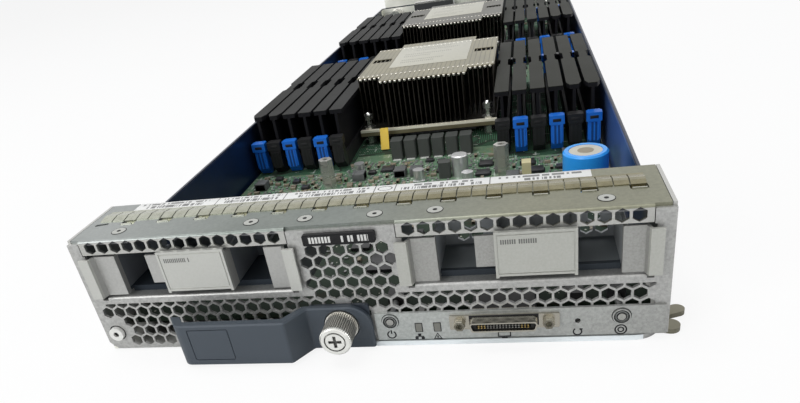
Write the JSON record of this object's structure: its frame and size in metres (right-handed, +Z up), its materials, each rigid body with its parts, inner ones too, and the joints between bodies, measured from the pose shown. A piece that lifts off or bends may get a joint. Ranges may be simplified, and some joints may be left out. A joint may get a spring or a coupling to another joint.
{
  "type": "blade server",
  "caption": "Half-width blade server, cover off: sheet-metal tray with board, memory blanks and coolers behind a vented front with drive bays and an ejector lever.",
  "frame": {"origin": "centre of the tray floor's underside", "axes": "+X to the right seen from the front, +Y from the front panel to the rear connectors, +Z up"},
  "size_m": [0.2108, 0.6335, 0.048],
  "materials": {
    "tray_steel": "galvanised sheet, plain cut edges",
    "panel_paint": "light warm grey satin",
    "roof_steel": "yellowish galvanised sheet",
    "bracket_steel": "galvanised sheet",
    "gasket_metal": "bright plated spring strip",
    "film": "thin blue insulating film",
    "blank_steel": "light grey satin",
    "blank_inner": "dark satin",
    "tag_plastic": "dark, bare",
    "io_plate": "satin plated sheet",
    "button_plastic": "translucent white",
    "switch_plastic": "moulded",
    "lamp_plastic": "clear light pipe",
    "shell_metal": "bright plated",
    "insert_plastic": "moulded",
    "lever_steel": "zinc plated",
    "handle_plastic": "slate blue-grey, fine grain",
    "screw_metal": "nickel plated",
    "board": "solder mask on glass laminate",
    "socket_plastic": "moulded",
    "module_plastic": "dark grey, matte",
    "latch_plastic": "bright blue and black by turns",
    "cooler_metal": "nickel plated",
    "tab_plastic": "yellow",
    "choke_ferrite": "moulded dark grey",
    "can_metal": "plain can",
    "sleeve_plastic": "blue shrink sleeve",
    "header_plastic": "cream moulding",
    "connector_plastic": "black moulding"
  },
  "bodies": {
    "chassis": {"base_tray": "tray_steel", "rear_wall": "tray_steel", "front_panel": "panel_paint", "front_roof": "roof_steel", "centre_bay_bracket": "bracket_steel", "outer_bay_brackets": "bracket_steel", "grounding_strip": "gasket_metal", "corner_screw": "screw_metal", "wall_films": "film", "io_panel": "io_plate", "push_switches": "switch_plastic", "light_pipes": "lamp_plastic", "console_shell": "shell_metal", "console_insert": "insert_plastic", "console_bezel": "shell_metal", "jackscrews": "screw_metal", "lever_pivot_pin": "screw_metal", "lock_nut": "screw_metal", "motherboard": "board", "memory_sockets": "socket_plastic", "memory_blanks_front_left": "module_plastic", "memory_blanks_front_right": "module_plastic", "memory_blanks_rear_left": "module_plastic", "memory_blanks_rear_right": "module_plastic", "processor_sockets": "bracket_steel", "cooler_front": "cooler_metal", "cooler_rear": "cooler_metal", "cooler_screws": "screw_metal", "carrier_tab": "tab_plastic", "power_chokes": "choke_ferrite", "can_capacitor": "can_metal", "sleeved_capacitor": "sleeve_plastic", "card_standoffs": "screw_metal", "pin_headers": "header_plastic", "adapter_card": "board", "power_connector": "connector_plastic", "signal_connector": "connector_plastic", "guide_sockets": "screw_metal"},
    "lever": {"ejector_arm": "lever_steel", "lever_handle": "handle_plastic"},
    "screw_carrier": {"captive_washer": "screw_metal"},
    "thumbscrew_body": {"thumbscrew": "screw_metal"},
    "left_blank": {"blank_face_left": "blank_steel", "blank_tray_left": "blank_inner"},
    "right_blank": {"blank_face_right": "blank_steel", "blank_tray_right": "blank_inner"},
    "tag": {"asset_tag": "tag_plastic"},
    "power_key": {"power_button": "button_plastic"},
    "locator_key": {"locator_button": "button_plastic"},
    "reset_key": {"reset_plunger": "button_plastic"},
    "latch_row_front_left_near": {"latches_front_left_near": "latch_plastic"},
    "latch_row_front_left_far": {"latches_front_left_far": "latch_plastic"},
    "latch_row_front_right_near": {"latches_front_right_near": "latch_plastic"},
    "latch_row_front_right_far": {"latches_front_right_far": "latch_plastic"},
    "latch_row_rear_left_near": {"latches_rear_left_near": "latch_plastic"},
    "latch_row_rear_left_far": {"latches_rear_left_far": "latch_plastic"},
    "latch_row_rear_right_near": {"latches_rear_right_near": "latch_plastic"},
    "latch_row_rear_right_far": {"latches_rear_right_far": "latch_plastic"}
  },
  "joints": [
    {"name": "lever_swing", "type": "hinge", "parent": "chassis", "child": "lever", "pos_m": [0.091, -0.302, 0.001], "axis": [0, 0, 1], "range_deg": [0, 60]},
    {"name": "thumbscrew_travel", "type": "slide", "parent": "lever", "child": "screw_carrier", "axis": [0, 1, 0], "range_m": [0, 0.003]},
    {"name": "thumbscrew_turn", "type": "hinge", "parent": "screw_carrier", "child": "thumbscrew_body", "pos_m": [-0.0055, -0.318, 0.0107], "axis": [0, 1, 0], "range_deg": [0, 1540]},
    {"name": "left_blank_pull", "type": "slide", "parent": "chassis", "child": "left_blank", "axis": [0, -1, 0], "range_m": [0, 0.03]},
    {"name": "right_blank_pull", "type": "slide", "parent": "chassis", "child": "right_blank", "axis": [0, -1, 0], "range_m": [0, 0.03]},
    {"name": "tag_pull", "type": "slide", "parent": "chassis", "child": "tag", "axis": [0, -1, 0], "range_m": [0, 0.022]},
    {"name": "power_press", "type": "slide", "parent": "chassis", "child": "power_key", "axis": [0, 1, 0], "range_m": [0, 0.001], "stiffness_N_per_m": 800, "springref_m": -0.001},
    {"name": "locator_press", "type": "slide", "parent": "chassis", "child": "locator_key", "axis": [0, 1, 0], "range_m": [0, 0.001], "stiffness_N_per_m": 800, "springref_m": -0.001},
    {"name": "reset_press", "type": "slide", "parent": "chassis", "child": "reset_key", "axis": [0, 1, 0], "range_m": [0, 0.001], "stiffness_N_per_m": 800, "springref_m": -0.001},
    {"name": "latch_front_left_near", "type": "hinge", "parent": "chassis", "child": "latch_row_front_left_near", "pos_m": [-0.0698, -0.1414, 0.0095], "axis": [1, 0, 0], "range_deg": [0, 30]},
    {"name": "latch_front_left_far", "type": "hinge", "parent": "chassis", "child": "latch_row_front_left_far", "pos_m": [-0.0698, 0.00075, 0.0095], "axis": [-1, 0, 0], "range_deg": [0, 30]},
    {"name": "latch_front_right_near", "type": "hinge", "parent": "chassis", "child": "latch_row_front_right_near", "pos_m": [0.0698, -0.1414, 0.0095], "axis": [1, 0, 0], "range_deg": [0, 30]},
    {"name": "latch_front_right_far", "type": "hinge", "parent": "chassis", "child": "latch_row_front_right_far", "pos_m": [0.0698, 0.00075, 0.0095], "axis": [-1, 0, 0], "range_deg": [0, 30]},
    {"name": "latch_rear_left_near", "type": "hinge", "parent": "chassis", "child": "latch_row_rear_left_near", "pos_m": [-0.0698, 0.0716, 0.0095], "axis": [1, 0, 0], "range_deg": [0, 30]},
    {"name": "latch_rear_left_far", "type": "hinge", "parent": "chassis", "child": "latch_row_rear_left_far", "pos_m": [-0.0698, 0.21375, 0.0095], "axis": [-1, 0, 0], "range_deg": [0, 30]},
    {"name": "latch_rear_right_near", "type": "hinge", "parent": "chassis", "child": "latch_row_rear_right_near", "pos_m": [0.0698, 0.0716, 0.0095], "axis": [1, 0, 0], "range_deg": [0, 30]},
    {"name": "latch_rear_right_far", "type": "hinge", "parent": "chassis", "child": "latch_row_rear_right_far", "pos_m": [0.0698, 0.21375, 0.0095], "axis": [-1, 0, 0], "range_deg": [0, 30]}
  ],
  "couplings": [
    {"joint": "thumbscrew_travel", "follows": "thumbscrew_turn", "m_per_rad": 0.00011141}
  ]
}
